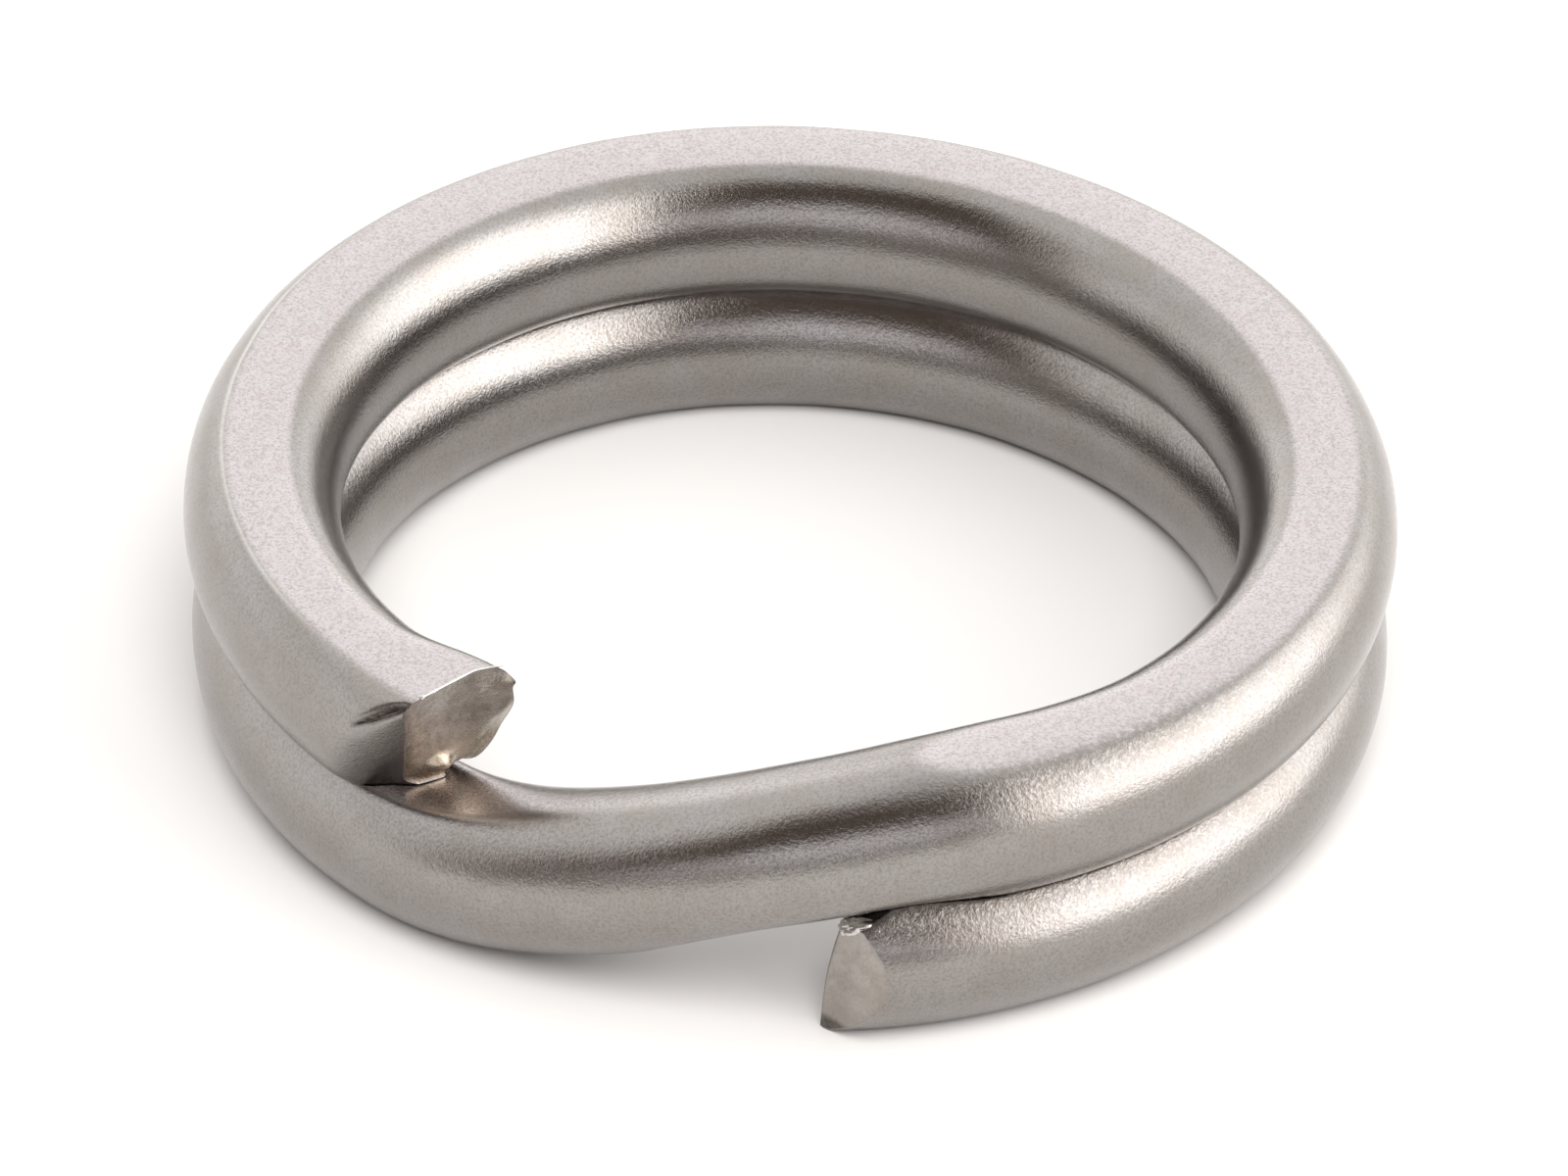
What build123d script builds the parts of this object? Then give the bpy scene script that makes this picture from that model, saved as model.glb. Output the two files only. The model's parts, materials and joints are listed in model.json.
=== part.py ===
"""Split key ring: one length of spring wire, coiled into a lower turn and an upper turn.

The wire starts at the lower cut end at the front, runs once round the lower turn, climbs the
crossover at the front, runs round the upper turn and stops at the upper cut end. The closed coil
was pressed between flat dies, so its outer faces are flat and the two turns bear on each other.

Angles are in degrees round +Z from +X, and keep growing along the wire from the lower cut end.
The ring lies flat: z = 0 is its underside, and the origin is the centre of the underside.
The wire is modelled as stretches, because it bends all along its length when an end is prised up.
"""

import os
from math import asin, cos, degrees, exp, radians, sin

from build123d import *

# Driving dimensions, in millimetres and degrees.
RING_OUTER_DIAMETER = 12.0
WIRE_WIDTH = 1.55  # across the wire, in the plane of the ring
TURN_HEIGHT = 1.45  # from a turn's pressed outer face to the plane between the turns
CENTRE_TO_CONTACT = 0.71  # from the wire's centreline to the plane between the turns
ROUND_HALF_HEIGHT = 0.86  # half height of the wire's oval before its faces are pressed flat
LOWER_TURN_TUCK = 0.035  # how much smaller the lower turn's radius is
LOWER_TURN_OFFSET_X = 0.03  # the turns don't lie quite concentric
INWARD_BOW = 0.24  # how far the crossover bows towards the hole
TURN_GAP = 0.03  # clearance between the turns
STRETCH_GAP = 0.03  # clearance between two stretches of the wire

LOWER_END_ANGLE = 280.0
CROSSOVER_START = 586.0
CROSSOVER_END = 655.0
UPPER_END_ANGLE = 947.0
BOW_ANGLE = 614.7
BOW_WIDTH = 26.0
TOP_FACET_END = 608.0  # the crossover's pressed top facet has faded out here
UNDER_FACET_START = 620.0  # the crossover's pressed under facet begins to form here
UNDER_FACET_FULL = 632.0
END_MARGIN = 9.0  # wire left past each end angle, for the cutter's facets to trim

LAST_LINE_OF_OVAL = 0.985  # the share of the oval's height where a round top is closed by a line
LOFT_STEP = 5.0

# Each turn's stretches, in order from the crossover to its cut end.
LOWER_STRETCHES = [
    "lower_turn_left",
    "lower_turn_back_left",
    "lower_turn_back",
    "lower_turn_back_right",
    "lower_turn_right",
    "lower_turn_front_right",
    "lower_cut_end",
]
UPPER_STRETCHES = [
    "upper_turn_front_right",
    "upper_turn_right",
    "upper_turn_back_right",
    "upper_turn_back",
    "upper_turn_back_left",
    "upper_turn_left",
    "upper_cut_end",
]

# Worked out from the driving dimensions.
RING_HEIGHT = 2 * TURN_HEIGHT
UPPER_RADIUS = (RING_OUTER_DIAMETER - WIRE_WIDTH) / 2
LOWER_RADIUS = UPPER_RADIUS - LOWER_TURN_TUCK
LOWER_CENTRE_Z = TURN_HEIGHT - CENTRE_TO_CONTACT
LAYER_STEP = 2 * CENTRE_TO_CONTACT
BEARING_LIMIT = CENTRE_TO_CONTACT - TURN_GAP / 2
ROUND_LIMIT = LAST_LINE_OF_OVAL * ROUND_HALF_HEIGHT


def evenly(start, end, count):
    return [start + (end - start) * i / count for i in range(count + 1)]


def smooth(value, low, high):
    """0 below low, 1 above high, with level ends between them."""
    share = min(max((value - low) / (high - low), 0), 1)
    return share * share * (3 - 2 * share)


def climb(angle):
    """How far the wire has climbed from the lower layer, 0, to the upper layer, 1."""
    return smooth(angle, CROSSOVER_START, CROSSOVER_END)


def centre_radius(angle):
    """The centreline's distance from the turn's own axis."""
    bow = INWARD_BOW * exp(-(((angle - BOW_ANGLE) / BOW_WIDTH) ** 2))
    return LOWER_RADIUS + LOWER_TURN_TUCK * climb(angle) - bow


def centre_z(angle):
    return LOWER_CENTRE_Z + LAYER_STEP * climb(angle)


def point(angle, beyond_centre, z):
    """A point by its angle, its distance outside the centreline and its height."""
    r = centre_radius(angle) + beyond_centre
    x = r * cos(radians(angle)) + LOWER_TURN_OFFSET_X * (1 - climb(angle))
    return Vector(x, r * sin(radians(angle)), z)


def pressed_limits(angle):
    """The heights below and above the centreline where the wire's oval is pressed flat."""
    z = centre_z(angle)
    low = -BEARING_LIMIT
    high = BEARING_LIMIT
    if angle < CROSSOVER_END:
        under = smooth(angle, UNDER_FACET_START, UNDER_FACET_FULL)
        low = -ROUND_LIMIT + (ROUND_LIMIT - BEARING_LIMIT) * under
    if angle > CROSSOVER_START:
        high += (ROUND_LIMIT - BEARING_LIMIT) * smooth(angle, CROSSOVER_START, TOP_FACET_END)
    if angle < LOWER_END_ANGLE + 30:
        high += LAYER_STEP * (climb(angle + 360) - 1)
    if angle > UPPER_END_ANGLE - 30:
        low += LAYER_STEP * climb(angle - 360)
    return max(low, -z), min(high, RING_HEIGHT - z)


def wire_section(angle):
    """The wire's cross-section, upright and radial: an oval with its top and bottom pressed."""
    low, high = pressed_limits(angle)
    half_width = WIRE_WIDTH / 2
    low_angle = degrees(asin(low / ROUND_HALF_HEIGHT))
    high_angle = degrees(asin(high / ROUND_HALF_HEIGHT))
    radii = (half_width, ROUND_HALF_HEIGHT)
    span = high_angle - low_angle
    outer = EllipticalCenterArc((0, 0), *radii, low_angle, arc_size=span)
    inner = EllipticalCenterArc((0, 0), *radii, 180 - high_angle, arc_size=span)
    top = Line(outer @ 1, inner @ 0)
    bottom = Line(inner @ 1, outer @ 0)
    outwards = (cos(radians(angle)), sin(radians(angle)), 0)
    backwards = (sin(radians(angle)), -cos(radians(angle)), 0)
    plane = Plane(
        origin=point(angle, 0, centre_z(angle)), x_dir=outwards, z_dir=backwards
    )
    return plane * make_face([outer, top, inner, bottom])


def turned_stretch(start, end):
    """A level stretch of a turn, where the section doesn't change."""
    axis = Axis((LOWER_TURN_OFFSET_X * (1 - climb(start)), 0, 0), (0, 0, 1))
    return revolve(wire_section(start), axis=axis, revolution_arc=end - start)


def lofted_stretch(start, end):
    """A stretch where the wire climbs or its pressed faces slope, kept between the die flats."""
    sections = [wire_section(angle) for angle in evenly(start, end, round((end - start) / LOFT_STEP))]
    between_dies = Box(
        2 * RING_OUTER_DIAMETER,
        2 * RING_OUTER_DIAMETER,
        RING_HEIGHT,
        align=(Align.CENTER, Align.CENTER, Align.MIN),
    )
    return loft(sections) & between_dies


def beyond(first, second, third, towards):
    """A block on one side of the plane through three points, the side that `towards` is on."""
    normal = (second - first).cross(third - first)
    if normal.dot(towards - first) < 0:
        normal = normal * -1
    return Plane(origin=first, z_dir=normal) * Box(
        RING_OUTER_DIAMETER,
        RING_OUTER_DIAMETER,
        2 * WIRE_WIDTH,
        align=(Align.CENTER, Align.CENTER, Align.MIN),
    )


def lower_cut_end(start, end):
    """The lower end, pinched off to an upright edge nearer its outer side."""
    wire = lofted_stretch(start, end)
    edge_foot = point(274.3, 0.33, 0)
    edge_head = point(276.4, 0.38, TURN_HEIGHT)
    outer_corner = point(281.0, WIRE_WIDTH / 2, TURN_HEIGHT / 2)
    inner_corner = point(279.0, -WIRE_WIDTH / 2, TURN_HEIGHT / 2)
    outer_off_cut = point(270.0, WIRE_WIDTH, TURN_HEIGHT / 2)
    inner_off_cut = point(270.0, -WIRE_WIDTH / 2, TURN_HEIGHT / 2)
    wire -= beyond(edge_foot, edge_head, outer_corner, outer_off_cut)
    return wire - beyond(edge_foot, edge_head, inner_corner, inner_off_cut)


def upper_cut_end(start, end):
    """The upper end, sheared so that its top lip leads, with a small outer bevel."""
    wire = lofted_stretch(start, end)
    lip_outer = point(952.6, 0.40, RING_HEIGHT)
    lip_inner = point(954.9, -0.63, RING_HEIGHT)
    heel = point(947.0, 0, TURN_HEIGHT)
    crease_foot = point(946.0, 0.2, TURN_HEIGHT)
    bevel_outer = point(948.3, 0.67, TURN_HEIGHT + 1.09)
    off_cut = point(956.0, 0, TURN_HEIGHT)
    wire -= beyond(lip_outer, lip_inner, heel, off_cut)
    return wire - beyond(lip_outer, crease_foot, bevel_outer, point(956.0, WIRE_WIDTH, TURN_HEIGHT))


def build_nodes():
    half_gap = degrees(STRETCH_GAP / 2 / UPPER_RADIUS)
    nodes = {
        "crossover": lofted_stretch(CROSSOVER_START + half_gap, CROSSOVER_END - half_gap)
    }
    lower = evenly(CROSSOVER_START, LOWER_END_ANGLE, len(LOWER_STRETCHES))
    for name, end, start in zip(LOWER_STRETCHES, lower, lower[1:]):
        if name == "lower_cut_end":
            nodes[name] = lower_cut_end(start - END_MARGIN, end - half_gap)
        else:
            nodes[name] = turned_stretch(start + half_gap, end - half_gap)
    upper = evenly(CROSSOVER_END, UPPER_END_ANGLE, len(UPPER_STRETCHES))
    for name, start, end in zip(UPPER_STRETCHES, upper, upper[1:]):
        if name == "upper_cut_end":
            nodes[name] = upper_cut_end(start + half_gap, end + END_MARGIN)
        else:
            nodes[name] = turned_stretch(start + half_gap, end - half_gap)
    return nodes


os.makedirs("parts", exist_ok=True)
for name, shape in build_nodes().items():
    export_step(shape, f"parts/{name}.step")
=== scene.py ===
"""The looks of the split key ring: one skin of satin steel over the wire's CAD stretches.

The skin is cut into pieces halfway along the stretches, so that each piece spans one hinge.
Lengths are in millimetres and angles in degrees until a mesh is made. Angles run round +Z from +X
and keep growing along the wire, from the lower cut end to the upper one. A place on the wire's
section is rho outside its centreline and zeta above it, or phi, in radians round the section from
its outer side.
"""

import json
from math import cos, degrees, exp, pi, radians, sin

import bmesh
import bpy
import numpy as np
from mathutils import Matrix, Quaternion, Vector, noise

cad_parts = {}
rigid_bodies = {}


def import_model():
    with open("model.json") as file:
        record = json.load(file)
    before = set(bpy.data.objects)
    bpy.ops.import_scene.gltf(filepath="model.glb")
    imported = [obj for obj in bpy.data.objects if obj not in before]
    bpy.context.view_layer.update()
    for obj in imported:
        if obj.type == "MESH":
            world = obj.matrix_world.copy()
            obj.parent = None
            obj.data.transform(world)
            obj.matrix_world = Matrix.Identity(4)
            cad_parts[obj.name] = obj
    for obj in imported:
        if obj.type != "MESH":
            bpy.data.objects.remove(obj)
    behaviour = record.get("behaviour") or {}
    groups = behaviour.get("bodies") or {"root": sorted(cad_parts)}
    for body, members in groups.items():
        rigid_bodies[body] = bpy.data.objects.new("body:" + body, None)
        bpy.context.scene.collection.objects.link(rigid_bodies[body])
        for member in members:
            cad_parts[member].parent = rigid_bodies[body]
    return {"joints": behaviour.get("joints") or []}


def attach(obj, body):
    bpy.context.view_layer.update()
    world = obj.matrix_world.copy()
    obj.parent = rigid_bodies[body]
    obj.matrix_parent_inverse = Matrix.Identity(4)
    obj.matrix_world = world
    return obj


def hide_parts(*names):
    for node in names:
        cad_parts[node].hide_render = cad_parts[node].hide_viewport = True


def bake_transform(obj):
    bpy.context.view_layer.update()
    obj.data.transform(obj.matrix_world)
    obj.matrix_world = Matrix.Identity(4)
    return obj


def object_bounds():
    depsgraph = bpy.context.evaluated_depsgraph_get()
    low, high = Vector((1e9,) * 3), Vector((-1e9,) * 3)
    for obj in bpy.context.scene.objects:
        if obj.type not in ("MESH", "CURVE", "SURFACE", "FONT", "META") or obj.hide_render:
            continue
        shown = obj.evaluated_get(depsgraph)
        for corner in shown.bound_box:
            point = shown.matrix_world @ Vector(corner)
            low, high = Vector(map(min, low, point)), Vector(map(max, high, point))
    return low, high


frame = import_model()
CAD_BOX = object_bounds()
MM = 0.001

# Sizes of the ring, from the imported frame.
RING_OUTER_DIAMETER = (CAD_BOX[1].x - CAD_BOX[0].x) / MM
RING_HEIGHT = CAD_BOX[1].z / MM
TURN_HEIGHT = RING_HEIGHT / 2

# The wire and its route, as the CAD part has them.
WIRE_WIDTH = 1.55
CENTRE_TO_CONTACT = 0.71
ROUND_HALF_HEIGHT = 0.86
LAST_LINE_OF_OVAL = 0.985
LOWER_TURN_TUCK = 0.035
LOWER_TURN_OFFSET_X = 0.03
INWARD_BOW = 0.24
LOWER_END_ANGLE = 280.0
CROSSOVER_START = 586.0
CROSSOVER_END = 655.0
UPPER_END_ANGLE = 947.0
BOW_ANGLE = 614.7
BOW_WIDTH = 26.0
TOP_FACET_END = 608.0
UNDER_FACET_START = 620.0
UNDER_FACET_FULL = 632.0
END_TAPER = 30.0  # how far from a cut end the crossover's slope can press it
STRETCHES_PER_TURN = 7

# The skin's gap between the turns is finer than the CAD part's, as the turns touch in life.
SKIN_GAP = 0.012

HALF_WIDTH = WIRE_WIDTH / 2
UPPER_RADIUS = (RING_OUTER_DIAMETER - WIRE_WIDTH) / 2
LOWER_RADIUS = UPPER_RADIUS - LOWER_TURN_TUCK
LOWER_CENTRE_Z = TURN_HEIGHT - CENTRE_TO_CONTACT
LAYER_STEP = 2 * CENTRE_TO_CONTACT
BEARING_LIMIT = CENTRE_TO_CONTACT - SKIN_GAP / 2
ROUND_LIMIT = LAST_LINE_OF_OVAL * ROUND_HALF_HEIGHT

# How soft the edges of the pressed flats are, and the angles where that changes.
CRISP_EDGE = 0.007
OUTER_EDGE = 0.022
INNER_EDGE = 0.060
DENTED_EDGE = 0.070
CUT_INNER_EDGE = 0.016
CONTACT_EDGE = 0.006
CRISP_MIDDLE = 905.0
CRISP_REACH = 45.0
DENTED_STRETCH = (932, 950)
CUT_INNER_STRETCH = (938, 952)
TOP_EDGE_OPENS = (CROSSOVER_START, CROSSOVER_START + 15)
SIDE_BLEND = 0.2

# Slow waves along the wire: share of the height, waves in each turn of the wire, how far they
# twist round the section, where the twist starts, and phase.
WAVE_HEIGHT = 0.0016
WAVES = [
    (0.9, 9.1, 1.7, 0.0, 0.4),
    (0.7, 17.3, 2.0, 0.8 + pi / 2, 1.9),
    (0.5, 31.7, -3.0, -0.5, 0.7),
]

# Coiling leaves the level turns' inner sides widest a little below their middle.
INNER_LEAN = radians(8.0)
LEAN_FADE = 20.0
LEAN_INSIDE = (0.0, 0.6)

# The crossover's underside, where it rides over the lower turn's end.
OVER_LOWER_END = 637.0
OVER_LOWER_END_REACH = 9.0
BEARING_LIFT = 0.08
UNDER_SLANT = 0.12
SLANT_STARTS = (612, 630)
SLANT_STOPS = (641, 654)
SLANT_ANGLE = radians(53.6)
SLANT_EDGE = 0.02
SLANT_FADE = 0.03
SLANT_ACROSS = cos(SLANT_ANGLE)
SLANT_UP = sin(SLANT_ANGLE)
SLANT_REACH = float(np.hypot(HALF_WIDTH * SLANT_ACROSS, ROUND_HALF_HEIGHT * SLANT_UP))

# The lower end: its top sinks towards the pinch, which has two facets. Each facet is the angle
# where it meets the centreline's foot, then its degrees for each millimetre outwards and upwards.
PINCHED_TOP = 1.19
PINCHED_FROM = 275.0
PINCHED_RISE = 0.045
OUTER_FACET = (269.86, 13.45, 0.985)
INNER_FACET = (275.37, -3.23, 1.56)
OUTER_FACET_CURVE = (0.9, 0.62, 0.16)
FACET_EDGE = 0.10
FACET_BULGE = 0.5

# The upper end: the cutter spread the wire inwards, and rolled its outer side over.
END_SPREAD = 0.19
SPREAD_STRETCH = (939, 953)
SPREAD_PHI = 2.18
SPREAD_REACH = 0.45
ROLL_ANGLE = 956.149  # where it would cross the centreline at the top, but for its bulge
ROLL_LEAN = 5.866  # degrees for each millimetre up
ROLL_TURN = 8.3  # degrees for each millimetre across
ROLL_BULGE = 0.007
ROLL_BULGE_MIDDLE = 949.5
ROLL_BULGE_FROM = 946.0
ROLL_EDGE = 0.045

# The sheared face: its angle at the middle of the top edge, and how it leans, curves and twists.
SHEAR_ANGLE = 952.1
SHEAR_LEAN = 0.52
SHEAR_CURVE = 2.16
SHEAR_TURN = 1.7
SHEAR_TWIST = 2.0

# What the cutter left on that face. A lump is its height in degrees along the wire, its middle and
# reach outside the centreline, and its middle and reach above the top edge or above the foot.
HOLLOW = (1.0, -0.10, 0.34, -0.62, 0.40)
SPIKE = (1.2, -0.70, 0.06, -0.20, 0.08)
NOTCH = (3.0, -0.50, 0.10, 0.0, 0.10)
CURL = (1.6, -0.18, 0.15, 0.25, 0.13)
TOP_LIP_HEIGHT = 0.55
TOP_LIP_DEPTH = 0.030
RIM_HEIGHT = 1.9
RIM_INWARDS = (0.28, 0.70)
RIM_UPWARDS = (0.45, 1.0)
LEDGE_HEIGHT = 1.0
LEDGE_DEPTH = 0.05
LEDGE_STARTS = (-0.42, -0.30)
LEDGE_STOPS = (0.08, 0.20)

# The scuff along the top of the rolled side.
GOUGE_DEPTH = 0.055
GOUGE_BEHIND_ROLL = 0.10
GOUGE_THIN = 0.030
GOUGE_WIDENS = 0.070
GOUGE_MIDDLE_PHI = 0.80
GOUGE_REACH_PHI = 0.22
GOUGE_STARTS = (0.36, 0.56)
GOUGE_STOPS = (0.90, 1.04)

# The torn grain of the cut faces: how often it repeats across and up, and its heights in degrees.
TORN_ACROSS = 3.2
TORN_UP = 2.2
TORN_HEIGHT = 0.16
FINE_TORN_ACROSS = 16
FINE_TORN_UP = 10
FINE_TORN_HEIGHT = 0.07
TORN_DIMENSION = 0.9
TORN_LACUNARITY = 2.1
TORN_OCTAVES = 5
TORN_FADE_RINGS = 5

# The curl of metal along the upper end's top edge, painted bright as a highlight.
LIP_SIZE = 0.012
LIP_BELOW_TOP = 0.004
LIP_BEHIND_EDGE = 0.10
LIP_UNEVEN = 0.9
LIP_UNEVEN_SCALE = 9
LIP_BEAD_SIZE = 1.1
LIP_TIP_SIZE = 0.25
LIP_TIP_SHARE = 0.12
LIP_START = 0.33
LIP_END = -0.63
LIP_BEAD = 0.31
LIP_BEAD_REACH = 0.03
LIP_STEPS = 60
LIP_SIDES = 12
# How bright the curl is painted, as a highlight.
LIP_PAINTED_HIGHLIGHT = 1.7

# The smeared tongue of metal on the lower end.
BURR_CENTRE = (0.80, -5.57, 1.30)
BURR_HALF_SIZES = (0.20, 0.12, 0.080)
BURR_LEAN = 0.25
BURR_THINNING = 0.35
BURR_SEED = 2.0
# The tongue is painted bright as a highlight.
BURR_PAINTED_HIGHLIGHT = 1.5
BURR_LUMPS = 0.22
BURR_LUMP_SCALE = 1.7
BURR_FINE_LUMPS = 0.07
BURR_FINE_SCALE = 6

# Where the masks that steer the steel begin and end.
PRESSED_FADE = (-0.01, 0.05)
# The edge mask paints a highlight over the upper flat's worn outer edge.
WORN_HIGHLIGHT_REACH = 0.010
WORN_HIGHLIGHT_STARTS = (855, 885)
WORN_HIGHLIGHT_STOPS = (925, 940)
WORN_HIGHLIGHT_FROM = (640, 670)
FAINT_WEAR_HIGHLIGHT = 0.12
HAMMERED_PHI = 0.92
HAMMERED_REACH = 0.30
HAMMERED_LOWER = ((272, 280), (315, 345))
HAMMERED_UPPER = ((634, 658), (668, 692))
GROOVE_REACH = 0.045
GROOVE_LEAVES = (CROSSOVER_START - 8, CROSSOVER_START + 8)
GROOVE_JOINS = (CROSSOVER_END - 16, CROSSOVER_END)
GROOVE_FROM_END = (LOWER_END_ANGLE, LOWER_END_ANGLE + 12)
# The scuff is painted dark as shade.
SCUFF_PAINTED_SHADE = 2.0
# The lip mask paints a highlight along the top of the cut face.
LIP_MASK_STOPS = (0.30, 0.42)
LIP_MASK_HIGHLIGHT = 2.6
CREASE_REACH = 0.04
# The crease by the rolled side is painted dark as shade.
CREASE_PAINTED_SHADE = 0.5
TAN_BELOW_TOP = (0.55, 1.15)
FOOT_HEIGHT = (0.12, 0.22)
FOOT_OUTWARDS = (0.50, 0.66)
# The lower end's foot, and faintly its facets, are painted dark as shade.
FOOT_PAINTED_SHADE = 0.8
FACET_PAINTED_SHADE = 0.10
FACET_TORN_SHARE = 0.35

# The mesh.
POINTS_ROUND = 144
ROWS_PER_DEGREE = 2.0
CUT_ZONE = 16.0
CUT_ROWS = 72
CUT_ROW_CROWDING = 0.6
CUT_FACE_RINGS = 44
CUT_FACE_CROWDING = 1.25
EDGE_CROWDING = 0.25
FINE_STEPS = 6001
LEVEL_ANGLE = 820.0
HALVINGS = 40
MASKS = ["pressed", "groove", "edge", "cut_face", "grime", "worked", "tan"]

# The steel's colours.
STEEL = (0.304, 0.292, 0.283, 1)
STEEL_WARM = (0.288, 0.268, 0.251, 1)
# The pressed flats are painted lighter than the round sides, standing in for the brighter light they
# catch.
STEEL_FLAT_PAINTED_LIGHTER = (0.500, 0.474, 0.478, 1)
STEEL_FLAT_PINK_PAINTED_LIGHTER = (0.492, 0.450, 0.456, 1)
STEEL_DARK = (0.20, 0.183, 0.17, 1)
# A painted highlight: over the worn edge of the upper flat, the upper end's lip and the lower end's
# burr.
STEEL_POLISH_AND_HIGHLIGHT = (0.82, 0.80, 0.76, 1)
STEEL_TORN = (0.400, 0.357, 0.312, 1)
STEEL_TORN_LIGHT = (0.530, 0.490, 0.445, 1)
STEEL_TAN = (0.46, 0.39, 0.31, 1)
# Darker in the groove where the turns meet.
GROOVE_DARK = (0.20, 0.17, 0.15, 1)
# Painted shade: in the scuff, along the crease by the rolled side, and over the lower end's facets and
# foot.
CUT_PAINTED_SHADE = (0.030, 0.021, 0.017, 1)

# The steel's patterns: their sizes in millimetres, and their bumps' depths in metres and strengths.
CLOUD_SIZE = 0.55
BLOTCH_SIZE = 0.17
PIT_SIZE = 0.055
GRAIN_SIZE = 0.030
LINE_SIZE = 0.30
PIT_DEPTH = 0.0000065
LINE_DEPTH = 0.000002
GRAIN_DEPTH = 0.000004
PIT_STRENGTH = 0.42
HAMMERED_EXTRA = 1.2
LINE_STRENGTH = 0.4
GRAIN_STRENGTH = 0.85
LINE_STRETCH = (0.25, 3.0, 1.0)

# How strongly the patterns show. MOTTLE, SPECKS, DENTS, PATCHES and SMEARS are the noise levels where
# a change begins and ends, and the other pairs are the values at those two levels.
MOTTLE = (0.35, 0.65)
SPECKS = (0.30, 0.60)
SPECK_SHARE = 0.75
SPECKS_LOST_WHERE_PRESSED = 0.25
DENTS = (0.44, 0.64)
DENT_SHARE = 0.85
POLISH_AND_HIGHLIGHT_SHARE = 0.34
# These levels also vary how strong the painted shade and the darkening in the groove are.
PATCHES = (0.3, 0.6)
GROOVE_DARK_SHARES = (0.1, 0.35)
PAINTED_SHADE_SHARES = (1, 0.75)
SMEARS = (0.3, 0.7)
ROUGHNESS = (0.09, 0.12)
PRESSED_ROUGHNESS = 0.14
TORN_ROUGHNESS = 0.14
GRAIN_ROUGHNESS = (0.05, -0.02)

# The table.
FLOOR_COLOUR = (0.56, 0.548, 0.536, 1)
FLOOR_RADIUS = 1.5
FLOOR_SIDES = 96

# The light: a white tent, open towards the camera, with a lamp at the right. Through the opening
# the metal mirrors a dim room with a pale arch in it. Azimuth is 0 behind the ring as the camera
# sees it, and grows to the right. A pair is the angles where a change begins and ends, and in
# ARCH_EDGE it is shares of the arch's size.
TENT_LIGHT = 1.60
ZENITH_LIGHT = 1.25
ZENITH_RISE = (60, 85)
LOW_TENT_EXTRA = 0.35
LOW_TENT_FADE = (16, 32)
LEFT_DIP = 0.52
LEFT_DIP_FADE = (-80, -20)
LEFT_DIP_HEIGHT = (10, 55)
LEFT_DIP_HIGH_SHARE = 0.2
RIGHT_LAMP = 2.7
RIGHT_LAMP_RISE = (38, 92)
RIGHT_LAMP_HEIGHT = (34, 62)
OPENING_MIDDLE = 191.0
OPENING_EDGE = (45.0, 59.0)
ROOM_DARK = 0.19
ROOM_HIGH = 1.1
ROOM_CEILING = (58, 70)
ARCH_MIDDLE = 185.5
ARCH_HALF_WIDTH = 47.0
ARCH_HEIGHT = 30.0
ARCH_EDGE = (0.93, 1.06)
ARCH_FOOT = (7, 12)
ARCH_LIGHT = 1.50
TENT_COLOUR = (1.0, 0.985, 0.975, 1)
ROOM_COLOUR = (1.0, 0.80, 0.68, 1)
ARCH_COLOUR = (1.0, 0.985, 1.03, 1)
TABLE_LIGHT_POWER = 0.78
TABLE_LIGHT_PLACE = (0.0, -0.13, 0.22)
TABLE_LIGHT_SIZE = 0.18

# The camera.
CAMERA_ELEVATION = 36.39
CAMERA_DISTANCE = 85.67
CAMERA_ROLL = 1.98
CAMERA_LENS = 197.85
CAMERA_SHIFT_X = -0.00324
CAMERA_SHIFT_Y = -0.01816


# The wire's route and section.


def smooth(value, low, high):
    """0 below low, 1 above high, with level ends between them."""
    share = np.clip((value - low) / (high - low), 0, 1)
    return share * share * (3 - 2 * share)


def between(value, rise, fall):
    """Rises from 0 to 1 over the first pair of values, and falls back to 0 over the second."""
    return smooth(value, *rise) * (1 - smooth(value, *fall))


def bell(value, middle, reach):
    """1 at the middle, falling smoothly to 0 at about twice the reach from it."""
    return np.exp(-(((value - middle) / reach) ** 2))


def soft_below(value, limit, softness):
    """The value, held under the limit with a rounded edge."""
    return limit - softness * np.logaddexp(0, (limit - value) / softness)


def soft_max(first, second, softness):
    """The larger of two values, with a rounded edge where they meet."""
    return softness * np.logaddexp(first / softness, second / softness)


def climb(angle):
    """How far the wire has climbed from the lower layer, 0, to the upper layer, 1."""
    return smooth(angle, CROSSOVER_START, CROSSOVER_END)


def centre_radius(angle):
    bow = INWARD_BOW * bell(angle, BOW_ANGLE, BOW_WIDTH)
    return LOWER_RADIUS + LOWER_TURN_TUCK * climb(angle) - bow


def centre_z(angle):
    return LOWER_CENTRE_Z + LAYER_STEP * climb(angle)


def place(angle, beyond_centre, z):
    """Points by their angle, their distance outside the centreline and their height."""
    r = centre_radius(angle) + beyond_centre
    turn = np.radians(angle)
    x = r * np.cos(turn) + LOWER_TURN_OFFSET_X * (1 - climb(angle))
    return np.stack([x, r * np.sin(turn), z + 0 * r], axis=-1)


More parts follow.
